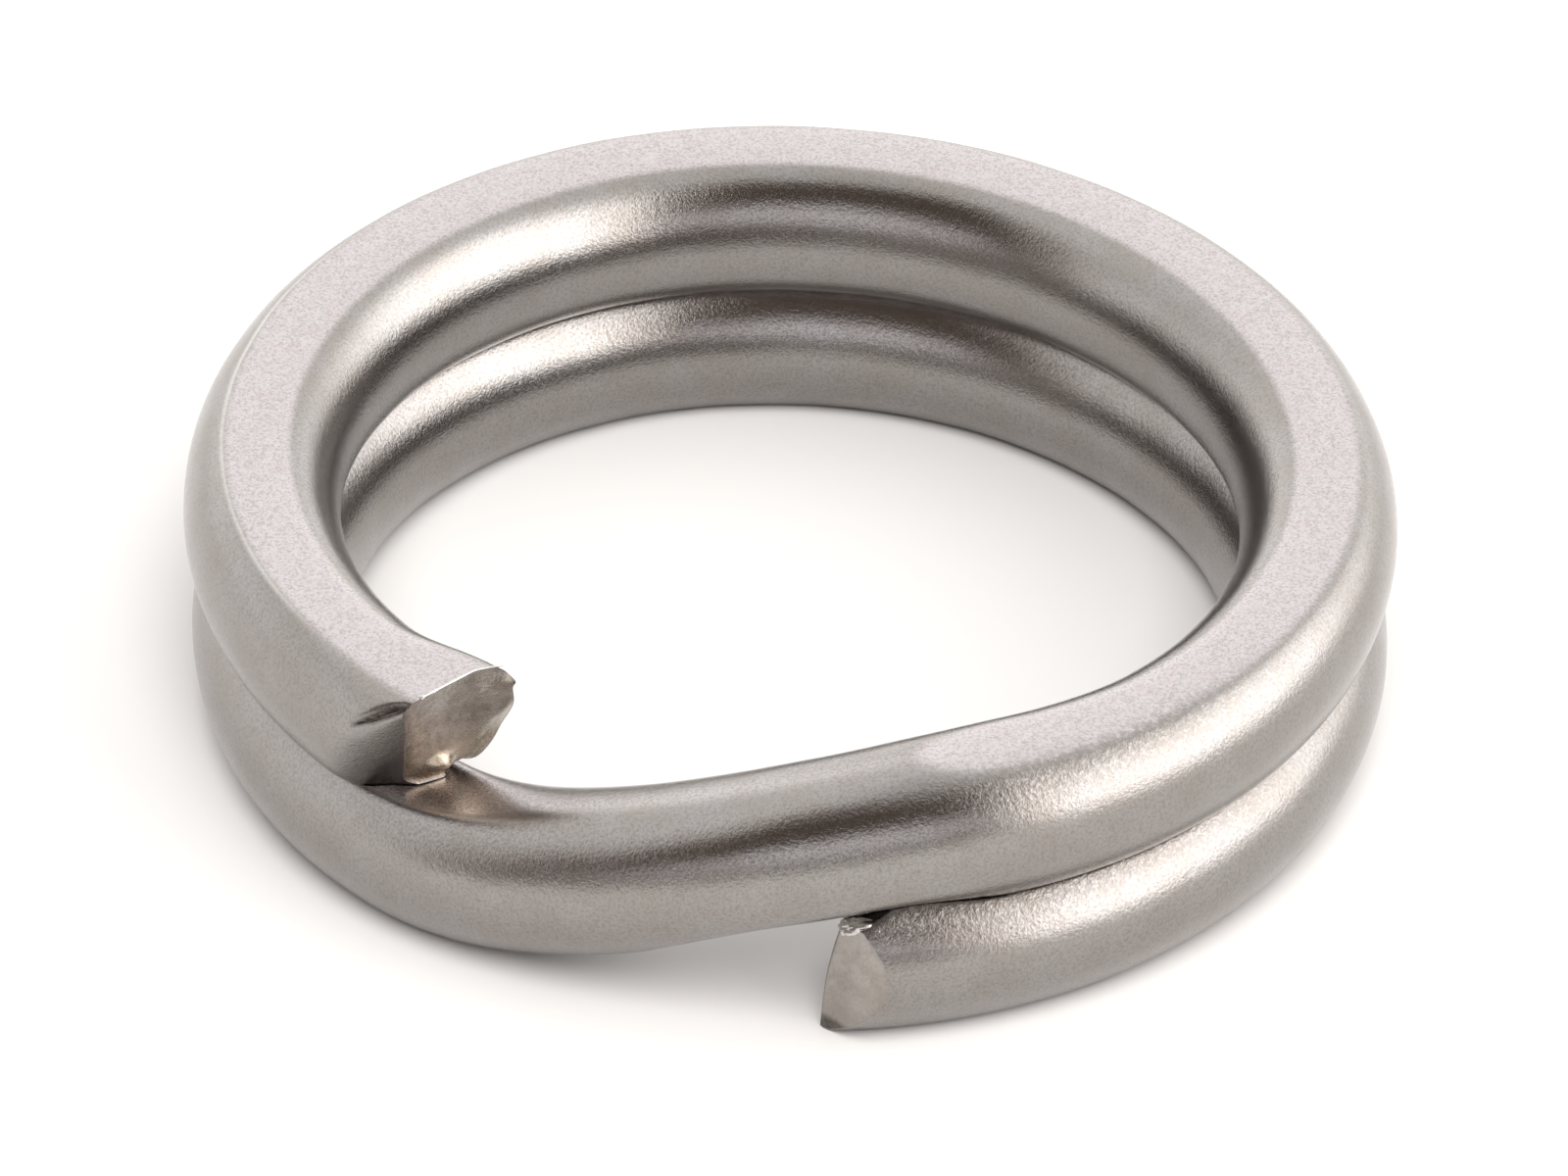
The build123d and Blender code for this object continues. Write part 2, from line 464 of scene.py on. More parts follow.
def pressed_limits(angle):
    """The heights below and above the centreline where the wire's oval is pressed flat."""
    z = centre_z(angle)
    under = smooth(angle, UNDER_FACET_START, UNDER_FACET_FULL)
    low = np.where(
        angle < CROSSOVER_END, -ROUND_LIMIT + (ROUND_LIMIT - BEARING_LIMIT) * under, -BEARING_LIMIT
    )
    top = smooth(angle, CROSSOVER_START, TOP_FACET_END)
    high = BEARING_LIMIT + (ROUND_LIMIT - BEARING_LIMIT) * top
    near_upper_end = angle > UPPER_END_ANGLE - END_TAPER
    low = low + np.where(near_upper_end, LAYER_STEP * climb(angle - 360), 0)
    low = low + BEARING_LIFT * bell(angle, OVER_LOWER_END, OVER_LOWER_END_REACH)
    return np.maximum(low, -z), np.minimum(high, RING_HEIGHT - z)


def edge_softness(angle, phi):
    """How rounded the upper flat's edges are: inside, outside, and near the cut end."""
    outer = OUTER_EDGE + (CRISP_EDGE - OUTER_EDGE) * bell(angle, CRISP_MIDDLE, CRISP_REACH)
    outer = outer + (DENTED_EDGE - outer) * smooth(angle, *DENTED_STRETCH)
    inner = INNER_EDGE + (CUT_INNER_EDGE - INNER_EDGE) * smooth(angle, *CUT_INNER_STRETCH)
    share_outside = 0.5 + 0.5 * np.tanh(np.cos(phi) / SIDE_BLEND)
    return inner + (outer - inner) * share_outside


def waviness(angle, phi):
    """Drawn and coiled wire isn't quite even: slow waves a few micrometres high."""
    along = np.radians(angle)
    wave = 0
    for share, frequency, twist, turn, phase in WAVES:
        wave = wave + share * np.sin(frequency * along + twist * np.sin(phi + turn) + phase)
    return WAVE_HEIGHT * wave


def inner_lean(angle, phi):
    """How far the inner side leans: it does along the level turns, and not on the crossover."""
    before = (CROSSOVER_START - LEAN_FADE, CROSSOVER_START)
    after = (CROSSOVER_END, CROSSOVER_END + LEAN_FADE)
    inside = smooth(-np.cos(phi), *LEAN_INSIDE)
    return INNER_LEAN * inside * (1 - between(angle, before, after))


def slant_depth(angle):
    """How deep the crossover's outer underside is pressed, where it rides on the lower end."""
    return UNDER_SLANT * between(angle, SLANT_STARTS, SLANT_STOPS)


def slanted_under(angle, rho, zeta):
    """The section with its outer underside pressed to that slant."""
    depth = slant_depth(angle)
    reach = rho * SLANT_ACROSS - zeta * SLANT_UP
    excess = reach - soft_below(reach, SLANT_REACH - depth, SLANT_EDGE)
    excess = excess * np.clip(depth / SLANT_FADE, 0, 1)
    return rho - excess * SLANT_ACROSS, zeta + excess * SLANT_UP


def under_crossover(angle, rho):
    """How high the lower end's top is, from its centre: pinched down, and under the crossover."""
    above = angle + 360
    rho_above = rho + centre_radius(angle) - centre_radius(above)
    slanted = (rho_above * SLANT_ACROSS - SLANT_REACH + slant_depth(above)) / SLANT_UP
    underside = np.maximum(pressed_limits(above)[0], slanted)
    pinched = PINCHED_TOP + PINCHED_RISE * np.maximum(angle - PINCHED_FROM, 0)
    met = centre_z(above) - centre_z(angle) + underside - SKIN_GAP
    return np.minimum(met, pinched - centre_z(angle))


def rolled_over(angle, z):
    """How far out the wire reaches beside the upper end, where the cutter rolled it over."""
    bend = np.maximum(angle, ROLL_BULGE_FROM) - ROLL_BULGE_MIDDLE
    flat = (ROLL_ANGLE + ROLL_LEAN * (z - RING_HEIGHT) - angle) / ROLL_TURN
    return flat - ROLL_BULGE * bend**2


def pressed_section(angle, phi):
    """The pressed wire's section, before its upper end was rolled over."""
    low, high = pressed_limits(angle)
    wave = waviness(angle, phi)
    rho = (HALF_WIDTH + wave) * np.cos(phi - inner_lean(angle, phi))
    zeta = (ROUND_HALF_HEIGHT + wave) * np.sin(phi)
    open_above = smooth(angle, *TOP_EDGE_OPENS)
    softness = CONTACT_EDGE + (edge_softness(angle, phi) - CONTACT_EDGE) * open_above
    high = np.where(angle < LOWER_END_ANGLE + END_TAPER, under_crossover(angle, rho), high)
    zeta = soft_below(zeta, high, softness)
    zeta = -soft_below(-zeta, -low, CONTACT_EDGE)
    rho, zeta = slanted_under(angle, rho, zeta)
    spread = END_SPREAD * smooth(angle, *SPREAD_STRETCH)
    return rho - spread * bell(phi, SPREAD_PHI, SPREAD_REACH), zeta


def section(angle, phi):
    """A point of the wire's skin, outside the centreline and above it, at section angle phi."""
    rho, zeta = pressed_section(angle, phi)
    return soft_below(rho, rolled_over(angle, centre_z(angle) + zeta), ROLL_EDGE), zeta


def section_angles():
    """Section angles in even steps round the pressed wire, closer together at its edges."""
    phi = np.linspace(-pi / 2, 3 * pi / 2, FINE_STEPS)
    rho, zeta = section(np.full_like(phi, LEVEL_ANGLE), phi)
    d_rho = np.diff(rho)
    d_zeta = np.diff(zeta)
    turning = np.abs(np.diff(np.unwrap(np.arctan2(d_zeta, d_rho)), prepend=0))
    turning[0] = 0
    weight = np.hypot(d_rho, d_zeta) + EDGE_CROWDING * turning
    travelled = np.concatenate([[0], np.cumsum(weight)])
    wanted = np.linspace(0, travelled[-1], POINTS_ROUND, endpoint=False)
    return np.interp(wanted, travelled, phi)


PHI = section_angles()


# The cut ends.


def lump(shape, rho, height):
    """A smooth bump on the sheared face."""
    rise, across, reach_across, up, reach_up = shape
    return rise * bell(rho, across, reach_across) * bell(height, up, reach_up)


def sheared_face(rho, z):
    down = z - RING_HEIGHT
    leant = SHEAR_ANGLE + SHEAR_LEAN * down - SHEAR_CURVE * down**2
    return leant - SHEAR_TURN * rho + SHEAR_TWIST * rho * down


def upper_end(rho, z):
    """The angle where the upper turn's sheared end stops, by place on the wire's section."""
    down = z - RING_HEIGHT
    above_foot = z - TURN_HEIGHT
    lip = TOP_LIP_HEIGHT * np.exp(down / TOP_LIP_DEPTH)
    rim = RIM_HEIGHT * smooth(-rho, *RIM_INWARDS) * smooth(above_foot, *RIM_UPWARDS)
    ledge = LEDGE_HEIGHT * between(rho, LEDGE_STARTS, LEDGE_STOPS)
    ledge = ledge * np.exp(-np.clip(above_foot, 0, 1) / LEDGE_DEPTH)
    raised = lip + rim + ledge + lump(SPIKE, rho, down) + lump(CURL, rho, above_foot)
    sunk = lump(HOLLOW, rho, down) + lump(NOTCH, rho, above_foot)
    return sheared_face(rho, z) + raised - sunk


def facet(shape, rho, z):
    start, outwards, upwards = shape
    return start + outwards * rho + upwards * z


def lower_end(rho, z):
    """The angle where the lower turn's pinched end starts, by place on the wire's section."""
    curve, curve_middle, curve_reach = OUTER_FACET_CURVE
    outside = facet(OUTER_FACET, rho, z) - curve * bell(rho, curve_middle, curve_reach)
    inside = facet(INNER_FACET, rho, z)
    bulge = FACET_BULGE * np.sin(pi * np.clip(z / TURN_HEIGHT, 0, 1))
    return soft_max(outside, inside, FACET_EDGE) - bulge


def end_angles(end_shape, guess):
    """The angle where each line along the wire meets the cut."""
    low = np.full(POINTS_ROUND, guess - CUT_ZONE)
    high = np.full(POINTS_ROUND, guess + CUT_ZONE)
    for _ in range(HALVINGS):
        middle = (low + high) / 2
        rho, zeta = section(middle, PHI)
        before_cut = end_shape(rho, centre_z(middle) + zeta) > middle
        low = np.where(before_cut, middle, low)
        high = np.where(before_cut, high, middle)
    return (low + high) / 2


def gouge(angle, phi):
    """0 to 1 in the scuff that the cutter left along the top of the upper end's rolled side."""
    rho, zeta = pressed_section(angle, phi)
    beyond = rho - rolled_over(angle, centre_z(angle) + zeta)
    width = GOUGE_THIN + GOUGE_WIDENS * bell(phi, GOUGE_MIDDLE_PHI, GOUGE_REACH_PHI)
    return bell(beyond, -GOUGE_BEHIND_ROLL, width) * between(phi, GOUGE_STARTS, GOUGE_STOPS)


def skin_points(angle, phi):
    """Points of the skin at each angle and section angle."""
    rho, zeta = section(angle, phi)
    depth = GOUGE_DEPTH * gouge(angle, phi)
    return place(angle, rho - depth * np.cos(phi), centre_z(angle) + zeta - depth * np.sin(phi))


# The masks that steer the steel.


def pressed_share(angle, phi):
    """1 on a flat that the dies or the other turn pressed, 0 on the wire's round sides."""
    low, high = pressed_limits(angle)
    oval = ROUND_HALF_HEIGHT * np.sin(phi)
    top = smooth(oval - high, *PRESSED_FADE)
    bottom = smooth(low - oval, *PRESSED_FADE)
    return np.maximum(top, bottom)


def groove_share(angle, phi):
    """1 in the groove where the two turns meet, fading to 0 on the open sides."""
    z = centre_z(angle) + section(angle, phi)[1]
    closeness = np.exp(-np.abs(z - TURN_HEIGHT) / GROOVE_REACH)
    on_lower = 1 - smooth(angle, *GROOVE_LEAVES)
    on_upper = smooth(angle, *GROOVE_JOINS)
    return closeness * (on_lower + on_upper) * smooth(angle, *GROOVE_FROM_END)


def edge_share(angle, phi):
    """1 along the upper flat's crisp outer edge, where wear has polished it and a highlight is painted.
    """
    high = pressed_limits(angle)[1]
    nearness = bell(ROUND_HALF_HEIGHT * np.sin(phi), high, WORN_HIGHLIGHT_REACH)
    outside = np.cos(phi) > 0
    crisp = between(angle, WORN_HIGHLIGHT_STARTS, WORN_HIGHLIGHT_STOPS)
    wear_highlight = FAINT_WEAR_HIGHLIGHT + (1 - FAINT_WEAR_HIGHLIGHT) * crisp
    return nearness * outside * wear_highlight * smooth(angle, *WORN_HIGHLIGHT_FROM)


def worked_share(angle, phi):
    """1 on the outer shoulders by the crossing, where the tool marks are coarse."""
    along = between(angle, *HAMMERED_LOWER) + between(angle, *HAMMERED_UPPER)
    return along * bell(phi, HAMMERED_PHI, HAMMERED_REACH)


class UpperCut:
    """The sheared end: a torn, slightly hollow face, tan towards its foot."""

    shape = staticmethod(upper_end)
    seed = 3.0
    tearing = 0.6
    forward = True

    @staticmethod
    def masks(rho, z):
        lip = np.exp((z - RING_HEIGHT) / TOP_LIP_DEPTH) * (1 - smooth(rho, *LIP_MASK_STOPS))
        from_roll = rolled_over(sheared_face(rho, z), z) - rho
        return {
            "cut_face": 1.0,
            # A painted highlight along the top lip of the cut face.
            "edge": LIP_MASK_HIGHLIGHT * lip,
            # Painted shade along the crease by the rolled side.
            "grime": CREASE_PAINTED_SHADE * bell(from_roll, 0.0, CREASE_REACH),
            "tan": smooth(RING_HEIGHT - z, *TAN_BELOW_TOP),
        }


class LowerCut:
    """The pinched end: smooth facets that meet in an upright edge, with painted shade at its foot and
    faintly over the facets.
    """

    shape = staticmethod(lower_end)
    seed = 11.0
    tearing = 0.22
    forward = False

    @staticmethod
    def masks(rho, z):
        foot = (1 - smooth(z, *FOOT_HEIGHT)) * (1 - smooth(rho, *FOOT_OUTWARDS))
        # Painted shade at the foot, and faintly over the facets.
        return {"cut_face": FACET_TORN_SHARE, "grime": FACET_PAINTED_SHADE + FOOT_PAINTED_SHADE * foot}


# The skin's meshes.


def add_mask(mesh, name, values):
    attribute = mesh.attributes.new(name, "FLOAT", "POINT")
    attribute.data.foreach_set("value", np.asarray(values, np.float32))


def add_object(name, mesh):
    piece = bpy.data.objects.new(name, mesh)
    bpy.context.scene.collection.objects.link(piece)
    return piece


class MeshParts:
    """Vertices, faces and masks of one piece, as they are added."""

    def __init__(self):
        self.points = []
        self.faces = []
        self.masks = {name: [] for name in MASKS}
        self.uvs = []
        self.rings = []

    def count(self):
        return sum(len(block) for block in self.points)

    def add_ring(self, points, uv, **masks):
        start = self.count()
        self.points.append(points)
        self.uvs.append(uv)
        for name, values in self.masks.items():
            values.append(np.broadcast_to(masks.get(name, 0.0), len(points)))
        return start

    def bridge(self, first, second):
        for i in range(POINTS_ROUND):
            j = (i + 1) % POINTS_ROUND
            self.faces.append((first + i, first + j, second + j, second + i))

    def close(self, start, outward_last):
        """One face over a ring."""
        loop = [start + i for i in range(POINTS_ROUND)]
        self.faces.append(tuple(loop if outward_last else reversed(loop)))

    def cap(self, start, outward_last):
        """One face over a ring, with a sharp edge round it."""
        self.close(start, outward_last)
        self.rings.append(start)

    def make(self, name):
        mesh = bpy.data.meshes.new(name)
        points = np.concatenate(self.points) * MM
        mesh.from_pydata(points.tolist(), [], self.faces, shade_flat=False)
        for mask, values in self.masks.items():
            add_mask(mesh, mask, np.concatenate(values))
        uvs = np.concatenate(self.uvs).astype(np.float32)
        corners = np.zeros(len(mesh.loops), np.int32)
        mesh.loops.foreach_get("vertex_index", corners)
        layer = mesh.uv_layers.new(name="wire")
        layer.data.foreach_set("uv", uvs[corners].ravel())
        ends = np.zeros((len(mesh.edges), 2), np.int32)
        mesh.edges.foreach_get("vertices", ends.ravel())
        sharp = np.zeros(len(ends), bool)
        for start in self.rings:
            sharp |= ((ends >= start) & (ends < start + POINTS_ROUND)).all(axis=1)
        crease = mesh.attributes.new("sharp_edge", "BOOLEAN", "EDGE")
        crease.data.foreach_set("value", sharp)
        mesh.validate()
        return add_object(name, mesh)


def ring_uv(angle):
    """Millimetres along the wire and round it."""
    along = np.radians(angle) * UPPER_RADIUS * np.ones(POINTS_ROUND)
    around = PHI * (HALF_WIDTH + ROUND_HALF_HEIGHT) / 2
    return np.stack([along, around], axis=-1)


def add_skin_ring(parts, angle):
    """A ring of skin at one angle, or at an angle of its own for each line along the wire."""
    angle = angle * np.ones(POINTS_ROUND)
    return parts.add_ring(
        skin_points(angle, PHI),
        ring_uv(angle),
        pressed=pressed_share(angle, PHI),
        groove=groove_share(angle, PHI),
        edge=edge_share(angle, PHI),
        worked=worked_share(angle, PHI),
        # The scuff is painted dark as shade.
        grime=np.minimum(SCUFF_PAINTED_SHADE * gouge(angle, PHI), 1),
    )


def tear(rho, z, seed):
    """The torn grain of a cut face, in degrees along the wire."""
    height = []
    for r, h in zip(rho, z):
        place_in_noise = Vector((r * TORN_ACROSS, h * TORN_UP, seed))
        torn = noise.fractal(place_in_noise, TORN_DIMENSION, TORN_LACUNARITY, TORN_OCTAVES)
        fine = noise.noise(Vector((r * FINE_TORN_ACROSS, h * FINE_TORN_UP, seed + 4)))
        height.append(TORN_HEIGHT * torn + FINE_TORN_HEIGHT * fine)
    return np.array(height)


def add_cut_face(parts, rim_start, stop, cut):
    """Fills a cut end with rings that shrink towards its middle."""
    rho, zeta = section(stop, PHI)
    z = centre_z(stop) + zeta
    middle_z = (z.max() + z.min()) / 2
    parts.rings.append(rim_start)
    previous = rim_start
    for step in range(1, CUT_FACE_RINGS + 1):
        share = (1 - step / (CUT_FACE_RINGS + 1)) ** CUT_FACE_CROWDING
        ring_rho = rho * share
        ring_z = middle_z + (z - middle_z) * share
        torn = cut.tearing * tear(ring_rho, ring_z, cut.seed)
        angle = cut.shape(ring_rho, ring_z) + torn * smooth(step, 0, TORN_FADE_RINGS)
        uv = np.stack([ring_rho, ring_z], axis=-1)
        ring = parts.add_ring(place(angle, ring_rho, ring_z), uv, **cut.masks(ring_rho, ring_z))
        if cut.forward:
            parts.bridge(previous, ring)
        else:
            parts.bridge(ring, previous)
        previous = ring
    parts.close(previous, cut.forward)


def level_rows(start, end):
    return np.linspace(start, end, max(2, round((end - start) * ROWS_PER_DEGREE) + 1))


def join_rings(parts, rings):
    for first, second in zip(rings, rings[1:]):
        parts.bridge(first, second)


def wire_piece(name, start, end):
    """A stretch of skin between two angles, closed at both ends."""
    parts = MeshParts()
    rings = [add_skin_ring(parts, angle) for angle in level_rows(start, end)]
    join_rings(parts, rings)
    parts.cap(rings[0], False)
    parts.cap(rings[-1], True)
    return parts.make(name)


def upper_end_piece(name, start):
    """The skin from a given angle to the sheared upper end."""
    parts = MeshParts()
    stop = end_angles(upper_end, UPPER_END_ANGLE)
    square = UPPER_END_ANGLE - CUT_ZONE
    rings = [add_skin_ring(parts, angle) for angle in level_rows(start, square)]
    for step in range(1, CUT_ROWS + 1):
        share = step / CUT_ROWS
        share = share * (1 + CUT_ROW_CROWDING - CUT_ROW_CROWDING * share)
        rings.append(add_skin_ring(parts, square + (stop - square) * share))
    join_rings(parts, rings)
    parts.cap(rings[0], False)
    add_cut_face(parts, rings[-1], stop, UpperCut)
    return parts.make(name)


def lower_end_piece(name, end):
    """The skin from the pinched lower end to a given angle."""
    parts = MeshParts()
    stop = end_angles(lower_end, LOWER_END_ANGLE)
    square = LOWER_END_ANGLE + CUT_ZONE
    rings = []
    for step in range(CUT_ROWS):
        share = step / CUT_ROWS
        share = share * (1 - CUT_ROW_CROWDING + CUT_ROW_CROWDING * share)
        rings.append(add_skin_ring(parts, stop + (square - stop) * share))
    rings += [add_skin_ring(parts, angle) for angle in level_rows(square, end)]
    join_rings(parts, rings)
    parts.cap(rings[-1], True)
    add_cut_face(parts, rings[0], stop, LowerCut)
    return parts.make(name)


def burr(name):
    """A small smeared tongue of metal on the lower end, thinner towards its tip."""
    shape = bmesh.new()
    bmesh.ops.create_icosphere(shape, subdivisions=5, radius=1.0)
    for vertex in shape.verts:
        p = vertex.co.copy()
        lumps = 1 + BURR_LUMPS * noise.noise(p * BURR_LUMP_SCALE + Vector((BURR_SEED, 0, 0)))
        lumps = lumps + BURR_FINE_LUMPS * noise.noise(p * BURR_FINE_SCALE)
        thinned = 1 - BURR_THINNING * p.x
        local = Vector((p.x, p.y * thinned, p.z * thinned + BURR_LEAN * p.x)) * lumps
        vertex.co = Vector(c + h * v for c, h, v in zip(BURR_CENTRE, BURR_HALF_SIZES, local)) * MM
    mesh = bpy.data.meshes.new(name)
    shape.to_mesh(mesh)
    shape.free()
    mesh.shade_smooth()
    mesh.uv_layers.new(name="wire")
    # The tongue is painted bright as a highlight.
    add_mask(mesh, "edge", np.full(len(mesh.vertices), BURR_PAINTED_HIGHLIGHT))
    return add_object(name, mesh)


def lip_tube(name):
    """The curl of metal that the cutter raised along the upper end's top edge, painted bright as a
    highlight.
    """
    points = []
    z = RING_HEIGHT - LIP_BELOW_TOP
    for step in range(LIP_STEPS + 1):
        share = step / LIP_STEPS
        rho = LIP_START + (LIP_END - LIP_START) * share
        angle = float(upper_end(np.float64(rho), z)) - LIP_BEHIND_EDGE
        uneven = LIP_UNEVEN * noise.noise(Vector((rho * LIP_UNEVEN_SCALE, 2.0, 0)))
        bead = LIP_BEAD_SIZE * exp(-(((rho - LIP_BEAD) / LIP_BEAD_REACH) ** 2))
        size = LIP_SIZE * (1 + uneven + bead)
        thickness = float(smooth(1 - share, 0.0, LIP_TIP_SHARE))
        size = size * (LIP_TIP_SIZE + (1 - LIP_TIP_SIZE) * thickness)
        for side in range(LIP_SIDES):
            turn = 2 * pi * side / LIP_SIDES
            along = degrees(size * cos(turn) / UPPER_RADIUS)
            points.append(place(np.float64(angle + along), rho, z + size * sin(turn)) * MM)
    last = LIP_STEPS * LIP_SIDES
    faces = [tuple(range(LIP_SIDES)), tuple(reversed(range(last, last + LIP_SIDES)))]
    for step in range(LIP_STEPS):
        for side in range(LIP_SIDES):
            first = step * LIP_SIDES + side
            second = step * LIP_SIDES + (side + 1) % LIP_SIDES
            faces.append((first, first + LIP_SIDES, second + LIP_SIDES, second))
    mesh = bpy.data.meshes.new(name)
    mesh.from_pydata([tuple(p) for p in points], [], faces, shade_flat=False)
    mesh.uv_layers.new(name="wire")
    # The curl is painted bright as a highlight.
    add_mask(mesh, "edge", np.full(len(points), LIP_PAINTED_HIGHLIGHT))
    return add_object(name, mesh)


# Materials.


class Nodes:
    """Short calls that add nodes to a tree and link them."""

    def __init__(self, tree):
        self.tree = tree
        tree.nodes.clear()

    def add(self, kind, settings=None, **inputs):
        """A node, with its inputs by name, or by number after an underscore."""
        node = self.tree.nodes.new(kind)
        for key, value in (settings or {}).items():
            setattr(node, key, value)
        for key, value in inputs.items():
            socket = node.inputs[int(key[1:])] if key[0] == "_" else node.inputs[key.replace("_", " ")]
            if isinstance(value, bpy.types.NodeSocket):
                self.tree.links.new(value, socket)
            else:
                socket.default_value = value
        return node

    def maths(self, operation, first, second=0.0, clamp=False):
        settings = {"operation": operation, "use_clamp": clamp}
        return self.add("ShaderNodeMath", settings, _0=first, _1=second).outputs[0]

    def times(self, first, second):
        return self.maths("MULTIPLY", first, second)

    def plus(self, first, second):
        return self.maths("ADD", first, second)

    def ranged(self, value, low, high, to_low, to_high):
        settings = {"interpolation_type": "SMOOTHSTEP"}
        return self.add(
            "ShaderNodeMapRange", settings, _0=value, _1=low, _2=high, _3=to_low, _4=to_high
        ).outputs[0]

    def mix(self, share, first, second):
        settings = {"data_type": "RGBA"}
        return self.add("ShaderNodeMix", settings, _0=share, _6=first, _7=second).outputs[2]

    def mask(self, name):
        return self.add("ShaderNodeAttribute", {"attribute_name": name}).outputs["Fac"]

    def scaled(self, vector, scale):
        return self.add(
            "ShaderNodeVectorMath", {"operation": "SCALE"}, _0=vector, Scale=scale
        ).outputs[0]

    def noise(self, vector, size, detail, rough=0.55):
        """Noise whose blotches are about that many millimetres across."""
        place_in_noise = self.scaled(vector, 1.0 / size)
        return self.add(
            "ShaderNodeTexNoise", None, Vector=place_in_noise, Scale=1.0, Detail=detail, Roughness=rough
        ).outputs["Fac"]

    def bump(self, height, distance, strength, normal=None):
        node = self.add("ShaderNodeBump", None, Height=height, Distance=distance, Strength=strength)
        if normal is not None:
            self.tree.links.new(normal, node.inputs["Normal"])
        return node.outputs[0]


def new_tree(owner):
    owner.use_nodes = True
    return Nodes(owner.node_tree)


def satin_steel():
    """Tumbled stainless spring wire: finely grained, with pressed flats a little rougher, and painted
    lighter than the round sides as a stand-in for the light they catch.
    """
    material = bpy.data.materials.new("satin_steel")
    nodes = new_tree(material)
    coordinates = nodes.add("ShaderNodeTexCoord").outputs["Object"]
    in_mm = nodes.scaled(coordinates, 1 / MM)
    along = nodes.add("ShaderNodeUVMap", {"uv_map": "wire"}).outputs[0]
    drawn = nodes.add("ShaderNodeMapping", None, Vector=along, Scale=LINE_STRETCH).outputs[0]
    pressed = nodes.mask("pressed")
    cut_face = nodes.mask("cut_face")
    worked = nodes.mask("worked")
    unpressed = nodes.maths("SUBTRACT", 1.0, nodes.times(pressed, SPECKS_LOST_WHERE_PRESSED))

    cloud = nodes.noise(in_mm, CLOUD_SIZE, 4.0)
    blotch = nodes.noise(in_mm, BLOTCH_SIZE, 3.0)
    pits = nodes.noise(in_mm, PIT_SIZE, 4.0, 0.7)
    grain = nodes.noise(in_mm, GRAIN_SIZE, 3.0, 0.75)
    lines = nodes.noise(drawn, LINE_SIZE, 3.0)
    clouded = nodes.ranged(cloud, *MOTTLE, 0, 1)
    blotched = nodes.ranged(blotch, *MOTTLE, 0, 1)

    round_metal = nodes.mix(clouded, STEEL, STEEL_WARM)
    # The pressed flats are painted lighter, standing in for the light they catch.
    lit_flat_metal = nodes.mix(blotched, STEEL_FLAT_PAINTED_LIGHTER, STEEL_FLAT_PINK_PAINTED_LIGHTER)
    metal = nodes.mix(pressed, round_metal, lit_flat_metal)
    specks = nodes.times(nodes.ranged(grain, *SPECKS, SPECK_SHARE, 0), unpressed)
    metal = nodes.mix(specks, metal, STEEL_DARK)
    between_blows = nodes.times(worked, nodes.ranged(pits, *DENTS, DENT_SHARE, 0))
    metal = nodes.mix(between_blows, metal, STEEL_DARK)
    torn = nodes.mix(blotched, STEEL_TORN, STEEL_TORN_LIGHT)
    torn = nodes.mix(nodes.mask("tan"), torn, STEEL_TAN)
    metal = nodes.mix(cut_face, metal, torn)
    # Painted highlight over the worn edge, the lip and the burr.
    polish_and_highlight = nodes.maths("MULTIPLY", nodes.mask("edge"), POLISH_AND_HIGHLIGHT_SHARE, clamp=True)
    metal = nodes.mix(polish_and_highlight, metal, STEEL_POLISH_AND_HIGHLIGHT)
    # Darker in the groove where the turns meet.
    groove_dark = nodes.times(nodes.mask("groove"), nodes.ranged(blotch, *PATCHES, *GROOVE_DARK_SHARES))
    metal = nodes.mix(groove_dark, metal, GROOVE_DARK)
    # Painted shade in the scuff, along the crease and on the lower end.
    painted_shade_share = nodes.times(nodes.mask("grime"), nodes.ranged(pits, *PATCHES, *PAINTED_SHADE_SHARES))
    metal = nodes.mix(painted_shade_share, metal, CUT_PAINTED_SHADE)

    rough = nodes.ranged(cloud, *SMEARS, *ROUGHNESS)
    rough = nodes.plus(rough, nodes.times(pressed, PRESSED_ROUGHNESS))
    rough = nodes.plus(rough, nodes.times(cut_face, TORN_ROUGHNESS))
    rough = nodes.plus(rough, nodes.ranged(grain, *SMEARS, *GRAIN_ROUGHNESS))

    pit_strength = nodes.plus(PIT_STRENGTH, nodes.times(worked, HAMMERED_EXTRA))
    hammered = nodes.bump(pits, PIT_DEPTH, pit_strength)
    lined = nodes.bump(lines, LINE_DEPTH, LINE_STRENGTH, hammered)
    grained = nodes.bump(grain, GRAIN_DEPTH, nodes.times(unpressed, GRAIN_STRENGTH), lined)

    shader = nodes.add(
        "ShaderNodeBsdfPrincipled", None, Base_Color=metal, Metallic=1.0, Roughness=rough, Normal=grained
    )
    nodes.add("ShaderNodeOutputMaterial", None, Surface=shader.outputs[0])
    return material


def floor_material():
    material = bpy.data.materials.new("pale_floor")
    nodes = new_tree(material)
    shader = nodes.add("ShaderNodeBsdfPrincipled", None, Base_Color=FLOOR_COLOUR, Roughness=0.9)
    shader.inputs["Specular IOR Level"].default_value = 0.1
    nodes.add("ShaderNodeOutputMaterial", None, Surface=shader.outputs[0])
    return material


# The stage.


def make_floor():
    """A plain pale table under the ring."""
    mesh = bpy.data.meshes.new("floor")
    turns = [2 * pi * i / FLOOR_SIDES for i in range(FLOOR_SIDES)]
    rim = [(FLOOR_RADIUS * cos(turn), FLOOR_RADIUS * sin(turn), 0.0) for turn in turns]
    mesh.from_pydata(rim, [], [tuple(range(FLOOR_SIDES))])
    mesh.materials.append(floor_material())
    add_object("floor", mesh)


